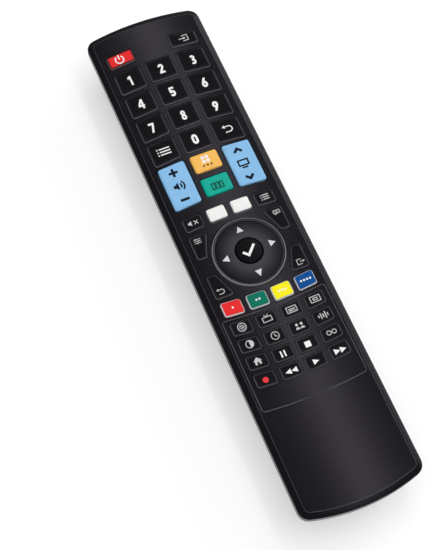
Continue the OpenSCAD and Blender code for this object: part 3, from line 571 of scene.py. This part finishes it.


# Power key: a red ABS cap, moulded like the black ones, with its shoulder coloured dark red as painted
# shade.
# The usual power sign is printed on it in white.

power_red = moulded_plastic(
    "power_red_abs", shade(227, 40, 42), 0.45, grain=0.00012, mottle=0.06, gloss=0.15)
# The dark red of the shoulder is painted shade on its slope
shoulder_red_shade = moulded_plastic("power_shoulder_painted_shade", shade(84, 18, 20), 0.45, grain=0.00012, gloss=0.15)
power_sign = [band(0, -0.15, 1.7, 0.5, 125, 415), bar(-0.25, -0.1, 0.25, 2.1)]
printed_key("power_key", (power_red, shoulder_red_shade, foot_highlight_grey), (placed(power_sign, -0.6, 0), white_ink))


# Rockers: tall pale blue caps that tilt on a ridge to press a contact at either end.
# Plus and minus, and up and down, are printed in navy ink, with a small sign between them.

rocker_blue = moulded_plastic(
    "rocker_pale_blue_abs", shade(137, 190, 232), 0.45, grain=0.00012, mottle=0.05, gloss=0.15)
navy_ink = moulded_plastic(
    "navy_ink", shade(14, 22, 40), 0.5, grain=0.00008, depth=0.15, mottle=0.1, gloss=0.1)
horn = [(-2.2, -0.7), (-1.3, -0.7), (-0.1, -1.75), (-0.1, 1.75), (-1.3, 0.7), (-2.2, 0.7)]
sound_waves = [band(-0.2, 0, r, 0.65, -50, 50) for r in (1.2, 2.35)]
screen = [bar(-2.3, -1.2, 2.3, 1.8), bar(-1.65, -0.55, 1.65, 1.15), bar(-1.2, -2.2, 1.2, -1.5)]
plus = []
for turn in range(4):
    spin = Matrix.Rotation(turn * math.pi / 2, 2)
    plus += [tuple(spin @ Vector(point)) for point in ((0.54, -0.54), (1.85, -0.5), (1.85, 0.5))]
minus = bar(-1.85, -6.65, 1.85, -5.55)
up = stroke([(-1.6, 5.3), (0, 6.8), (1.6, 5.3)], 1.1)
down = stroke([(-1.6, -5.6), (0, -7.1), (1.6, -5.6)], 1.1)
rocker_signs = {
    "volume_rocker": [*placed([plus], 0, 6.1), minus, horn, *sound_waves],
    "channel_rocker": [up, down, *screen],
}
for node, marks in rocker_signs.items():
    printed_key(node, (rocker_blue,) * 3, (placed(marks, -0.3, -0.35), navy_ink))


# Content and menu keys: an orange and a teal ABS cap between the rockers, moulded in their colours.
# Four tiles over three dots, and three columns, are printed on them for signs.

content_orange = moulded_plastic(
    "content_orange_abs", shade(244, 186, 92), 0.45, grain=0.00012, mottle=0.05, gloss=0.15)
tiles = [bar(x, y, x + 1.3, y + 1.3) for x in (-1.5, 0.2) for y in (-1.5, 0.2)]
dots = [disc(x, -1.8, 0.42) for x in (-1.6, 0, 1.6)]
printed_key("content_key", (content_orange,) * 3, (placed(tiles, 0, 0.9), white_ink), (dots, navy_ink))

menu_teal = moulded_plastic(
    "menu_teal_abs", shade(8, 168, 146), 0.45, grain=0.00012, mottle=0.06, gloss=0.15)
columns = []
for x in (-1.7, 0, 1.7):
    columns += [bar(x - 0.75, -1.5, x + 0.75, 1.5), bar(x - 0.37, -1.12, x + 0.37, 1.12)]
printed_key("menu_key", (menu_teal,) * 3, (placed(columns, 0, -0.7), navy_ink))


# Row of four above the ring: mute and channel list are black ABS caps with small signs in grey ink.
# The two between them are white caps, left bare.

app_white = moulded_plastic("app_white_abs", shade(240, 240, 238), 0.4, grain=0.00012, mottle=0.03)
for node in ("app_key_left", "app_key_right"):
    printed_key(node, (app_white, app_white, foot_highlight_grey))

small_horn = [(x * 0.65 - 0.7, y * 0.65) for x, y in horn]
cross_lines = (((0.3, 0.75), (1.8, -0.75)), ((1.8, 0.75), (1.22, 0.17)), ((0.88, -0.17), (0.3, -0.75)))
cross = [stroke(line, 0.36) for line in cross_lines]
printed_key("mute_key", black_cap, ([small_horn, *cross], grey_ink))
printed_key("channel_list_key", black_cap, (list_lines(3.4, 0.95, 0.4), grey_ink))


# Tapered keys: four black ABS caps that fill the corners round the direction ring.
# Their signs are printed in grey ink at the wide end.

def slider(y, knob):
    # A line with a knob part of the way along it
    left, right = bar(-1.4, y - 0.11, knob - 0.4, y + 0.11), bar(knob + 0.4, y - 0.11, 1.4, y + 0.11)
    return [left, disc(knob, y, 0.32), right]


bubble = [(-1.4, -0.6), (-0.7, -0.65), (-0.9, -1.2), (0.1, -0.65), (1.4, -0.6), (1.4, 0.9), (-1.4, 0.9)]
corner_signs = {
    "tools_key": (-0.7, 2.5, slider(0.75, -0.6) + slider(-0.05, 0.5) + slider(-0.85, -0.1)),
    "info_key": (0.7, 2.5, [bubble, bar(-1.15, -0.35, 1.15, 0.65), bar(-0.7, 0.03, 0.7, 0.27)]),
    "return_key": (-0.7, -2.5, turn_back(3, 0.3)),
    "exit_key": (0.7, -2.5, arrow_box(3, 0.28, -1)),
}
for node, (x, y, marks) in corner_signs.items():
    printed_key(node, black_cap, (placed(marks, x, y), grey_ink))


# Direction ring: a domed ring in grey ABS with a turned rim, that tilts four ways. Its colour is painted
# shade that darkens towards the rim.
# Its four arrows are printed in pale grey and follow the dome.

# Painted shade of the ring from hole to rim, the dome darkening outwards, then two painted highlight lines
# on the rim, each as a radius in millimetres and a grey level
shading_reach = 16
ring_painted_shading = (
    (5.4, 60), (7.5, 56), (10, 36), (12.4, 16), (13.0, 16),
    (13.05, 84), (13.3, 84), (13.35, 16), (13.7, 16), (13.75, 128), (14.2, 128),
)
ring_painted_shade = moulded_plastic("ring_abs_painted_shade", shade(60, 59, 63), 0.4, gloss=0.22, cast=violet_cast)
nodes, links = ring_painted_shade.node_tree.nodes, ring_painted_shade.node_tree.links
place = next(n for n in nodes if n.type == "TEX_COORD")
offset = nodes.new("ShaderNodeMapping")
offset.inputs["Location"].default_value = (-ring_centre.x, -ring_centre.y, 0)
flat = nodes.new("ShaderNodeVectorMath")
flat.operation = "MULTIPLY"
flat.inputs[1].default_value = (1, 1, 0)
radius = nodes.new("ShaderNodeVectorMath")
radius.operation = "LENGTH"
links.new(place.outputs["Object"], offset.inputs["Vector"])
links.new(offset.outputs["Vector"], flat.inputs[0])
links.new(flat.outputs["Vector"], radius.inputs[0])
across = nodes.new("ShaderNodeMapRange")
across.inputs["From Max"].default_value = shading_reach / 1000
links.new(radius.outputs["Value"], across.inputs["Value"])
# The ramp paints the dome's shade and the rim's highlights into the base colour
shade_ramp = nodes.new("ShaderNodeValToRGB")
for mm, level in ring_painted_shading:
    stop = shade_ramp.color_ramp.elements.new(mm / shading_reach)
    stop.color = shade(level, level - 1, level + 3)
shade_ramp.color_ramp.elements.remove(shade_ramp.color_ramp.elements[0])
shade_ramp.color_ramp.elements.remove(shade_ramp.color_ramp.elements[-1])
links.new(across.outputs["Result"], shade_ramp.inputs["Fac"])
links.new(shade_ramp.outputs["Color"], nodes["Principled BSDF"].inputs["Base Color"])

direction_ring = moulding("direction_ring", ring_painted_shade)
arrow_ink = moulded_plastic("arrow_ink", shade(214, 214, 216), 0.5, grain=0.00008, depth=0.15, mottle=0.04)
dome_r, ring_hole_r = 0.0772, 0.005605
ring_top = Matrix.Translation((ring_centre.x, ring_centre.y, ring_high.z))
for turn in range(4):
    arrow = ink_film([[(0, 11.0), (-1.4, 8.4), (1.4, 8.4)]], half_thick=0.00004)
    arrow.data.transform(ring_top @ Matrix.Rotation(turn * math.pi / 2, 4, "Z"))
    for vertex in arrow.data.vertices:
        r = (vertex.co.xy - ring_centre.xy).length
        vertex.co.z += (ring_hole_r ** 2 - r ** 2) / 2 / dome_r
    lay_film(direction_ring, arrow, arrow_ink)
fit(direction_ring, "direction_ring", smooth=35)


# OK key: a round black ABS cap on a stem of its own, standing free in the middle of the ring.
# A tick is printed on it in white.

ok_cap = moulding("ok_key", key_black)
tick = stroke([(-2.6, 0.1), (-0.8, -1.7), (2.7, 1.9)], 1.0)
screen_print(ok_cap, [tick], top_centre("ok_key"), white_ink)
fit(ok_cap, "ok_key", smooth=50)


# Coloured keys: red, green, yellow and blue caps with a silver line hot-stamped round the edge.
# One to four white dots tell them apart by more than colour.

silver_line = moulded_plastic("silver_foil", shade(228, 229, 232), 0.4, grain=0.0002, mottle=0.05)
dot_r, dot_pitch = 0.42, 1.25
colours = {
    "red_key": (228, 44, 44),
    "green_key": (4, 114, 92),
    "yellow_key": (248, 234, 30),
    "blue_key": (8, 78, 150),
}
for count, (node, colour) in enumerate(colours.items(), 1):
    tint = moulded_plastic(node + "_abs", shade(*colour), 0.45, grain=0.00012, mottle=0.05, gloss=0.08)
    dots = [disc((i - (count - 1) / 2) * dot_pitch, 0, dot_r) for i in range(count)]
    printed_key(node, (tint, tint, silver_line), (dots, white_ink), foot_line=0.0004)


# Function keys: four rows of small black ABS caps, moulded like the number keys, with plain signs.
# Most signs are printed in grey. Those of the transport keys are white, apart from a red dot for record.

def triangle(x, width, height):
    return [(x, height / 2), (x, -height / 2), (x + width, 0)]


def frame_lines(half_w, half_h):
    # A box drawn with a line 0.3 mm wide
    inner_w, inner_h = half_w - 0.3, half_h - 0.3
    return [bar(-half_w, -half_h, half_w, half_h), bar(-inner_w, -inner_h, inner_w, inner_h)]


house = [(-1.7, 0.1), (0, 1.6), (1.7, 0.1), (1.2, 0.2), (1.2, -1.3), (0.4, -1.25), (0.4, -0.3),
         (-0.4, -0.3), (-0.4, -1.25), (-1.2, -1.3), (-1.2, 0.2)]
stripe_places = ((-0.45, 0.65), (0, 0.8), (0.45, 0.65))
stripes = [stroke([(d - x, d + x), (d + x, d - x)], 0.28) for d, x in stripe_places]
aerials = [stroke([(-0.9, 1.65), (0, 0.95)], 0.3), stroke([(0.9, 1.65), (0.05, 1.0)], 0.3)]
hands = stroke([(0, 0.95), (0, -0.1), (0.75, -0.5)], 0.3)
words = [bar(-1.3, -0.65, 0.3, -0.3), bar(0.6, -0.65, 1.3, -0.3), bar(-1.3, 0, 1.3, 0.35)]
levels = ((-1.8, 0.5), (-0.9, 1.2), (0, 0.75), (0.9, 1.4), (1.8, 0.6))
function_signs = {
    "teletext_key": [disc(0, 0, 1.75), disc(0, 0, 1.45), *stripes],
    "tv_radio_key": [bar(-1.9, -1.2, 1.9, 0.9), bar(-1.6, -0.9, 1.6, 0.6), *aerials],
    "subtitle_key": [*frame_lines(2.1, 1.3), *words],
    "picture_size_key": [*frame_lines(2.1, 1.3), *frame_lines(1, 0.55)],
    "picture_mode_key": [disc(0, 0, 1.6), arc(0, 0, 1.3, 90, 270)],
    "history_key": [disc(0, 0, 1.65), disc(0, 0, 1.35), hands],
    "family_key": [*(disc(x, 0.75, 0.55) for x in (-0.95, 0.95)),
                   *(arc(x, -1.1, 0.85, 0, 180) for x in (-0.95, 0.95))],
    "sound_mode_key": [bar(x - 0.2, -h, x + 0.2, h) for x, h in levels],
    "home_key": [house],
    "dual_key": [disc(x, 0, r) for x in (-1.05, 1.05) for r in (0.95, 0.65)],
}
for node, marks in function_signs.items():
    printed_key(node, black_cap, (marks, grey_ink))

sign_x, sign_y = -0.2, -0.4
transport_signs = {
    "pause_key": placed([bar(-1, -1.25, -0.4, 1.25), bar(0.4, -1.25, 1, 1.25)], sign_x, sign_y),
    "stop_key": placed([bar(-1.15, -1.15, 1.15, 1.15)], sign_x, sign_y),
    "rewind_key": placed([triangle(x, 2.35, 2.15) for x in (0, -2.4)], sign_x, sign_y, wide=-1),
    "play_key": placed([triangle(-1.1, 2.35, 2.25)], sign_x, sign_y),
    "fast_forward_key": placed([triangle(x, 2.4, 2.35) for x in (0.02, -2.42)], 0, sign_y),
}
for node, marks in transport_signs.items():
    printed_key(node, black_cap, (marks, white_ink))

record_red = moulded_plastic(
    "record_red_ink", shade(226, 38, 44), 0.5, grain=0.00008, depth=0.15, mottle=0.05)
printed_key("record_key", black_cap, ([disc(sign_x, sign_y, 1.12)], record_red))


# Floor: a sheet of white paper that catches the remote's soft shadow.
# What the camera and reflections see of it is lifted towards white, more so far from the remote.

bpy.ops.object.select_all(action="DESELECT")
bpy.ops.mesh.primitive_plane_add(size=20)
floor = bpy.context.object
floor.name = "paper_floor"
paper = bpy.data.materials.new("white_paper")
paper.use_nodes = True
nodes, links = paper.node_tree.nodes, paper.node_tree.links
shader = nodes["Principled BSDF"]
shader.inputs["Base Color"].default_value = (0.62, 0.62, 0.62, 1)
shader.inputs["Roughness"].default_value = 0.9
shader.inputs["Specular IOR Level"].default_value = 0.1
shader.inputs["Emission Color"].default_value = (1, 1, 1, 1)
ray = nodes.new("ShaderNodeLightPath")
seen = nodes.new("ShaderNodeMath")
seen.operation = "MAXIMUM"
links.new(ray.outputs["Is Camera Ray"], seen.inputs[0])
links.new(ray.outputs["Is Glossy Ray"], seen.inputs[1])
mirrored = nodes.new("ShaderNodeMath")
mirrored.operation = "MAXIMUM"
links.new(seen.outputs["Value"], mirrored.inputs[0])
links.new(ray.outputs["Is Transmission Ray"], mirrored.inputs[1])
place = nodes.new("ShaderNodeTexCoord")
reach = nodes.new("ShaderNodeVectorMath")
reach.operation = "LENGTH"
links.new(place.outputs["Object"], reach.inputs[0])
far = nodes.new("ShaderNodeMapRange")
far.inputs["From Min"].default_value = 0.35
far.inputs["From Max"].default_value = 0.9
far.inputs["To Min"].default_value = 0.45
far.inputs["To Max"].default_value = 0.85
links.new(reach.outputs["Value"], far.inputs["Value"])
lift = nodes.new("ShaderNodeMath")
lift.operation = "MULTIPLY"
links.new(mirrored.outputs["Value"], lift.inputs[0])
links.new(far.outputs["Result"], lift.inputs[1])
links.new(lift.outputs["Value"], shader.inputs["Emission Strength"])
floor.data.materials.append(paper)


# Studio light: a white surround that dims overhead, a broad panel overhead and a fill from the left, both
# without glints. A softbox lights the right side, a long strip overhead draws the pale band down the face,
# and a small panel in front is aimed at the lower end.

world = bpy.data.worlds.new("studio")
bpy.context.scene.world = world
world.use_nodes = True
nodes, links = world.node_tree.nodes, world.node_tree.links
way = nodes.new("ShaderNodeTexCoord")
parts = nodes.new("ShaderNodeSeparateXYZ")
links.new(way.outputs["Generated"], parts.inputs["Vector"])
level = nodes.new("ShaderNodeMapRange")
level.inputs["From Min"].default_value = 0.1
level.inputs["From Max"].default_value = 0.4
level.inputs["To Min"].default_value = 1.0
level.inputs["To Max"].default_value = 0.2
links.new(parts.outputs["Z"], level.inputs["Value"])
links.new(level.outputs["Result"], nodes["Background"].inputs["Strength"])
nodes["Background"].inputs["Color"].default_value = (1, 1, 1, 1)


def soft_light(name, place, target, width, height, watts, glint=True):
    lamp = bpy.data.lights.new(name, "AREA")
    lamp.shape = "RECTANGLE"
    lamp.size = width
    lamp.size_y = height
    lamp.energy = watts
    holder = bpy.data.objects.new(name, lamp)
    bpy.context.collection.objects.link(holder)
    holder.visible_glossy = glint
    aim = (Vector(target) - Vector(place)).to_track_quat("-Z", "Y")
    holder.matrix_world = Matrix.Translation(place) @ aim.to_matrix().to_4x4()


soft_light("overhead_panel", (0.1, 0.1, 1.2), (0, 0, 0), width=1.4, height=1.4, watts=9.6, glint=False)
soft_light("right_softbox", (0.62, 0.16, 0.28), (0, 0, 0.02), width=0.8, height=0.4, watts=1.45)
soft_light("front_panel", (0.2, -0.32, 0.8), (0, -0.1, 0.02), width=0.3, height=0.25, watts=0.25)
soft_light("overhead_strip", (0.115, 0.15, 0.45), (0.115, 0.15, 0), width=0.04, height=0.75, watts=0.35)
soft_light("left_fill", (-0.6, -0.3, 0.3), (0, 0, 0), width=0.5, height=0.5, watts=0.8, glint=False)


# Camera: where the photograph was taken from, found from the straight edges of the case and the round ring.
# Its focal length is in pixels of a picture 550 pixels tall, and its axes are those of that picture.

focal_px, picture_h, film_w = 1188.13, 550, 36
camera = bpy.data.cameras.new("camera")
camera.lens = focal_px * film_w / picture_h
camera.sensor_width = film_w
holder = bpy.data.objects.new("camera", camera)
bpy.context.collection.objects.link(holder)
right = Vector((0.91709, -0.39582, 0.04772))
down = Vector((-0.34705, -0.85147, -0.39314))
ahead = Vector((0.19625, 0.34398, -0.91824))
view = Matrix((right, -down, -ahead)).transposed().to_4x4()
view.translation = (-0.10195, -0.16154, 0.43028)
holder.matrix_world = view
bpy.context.scene.camera = holder
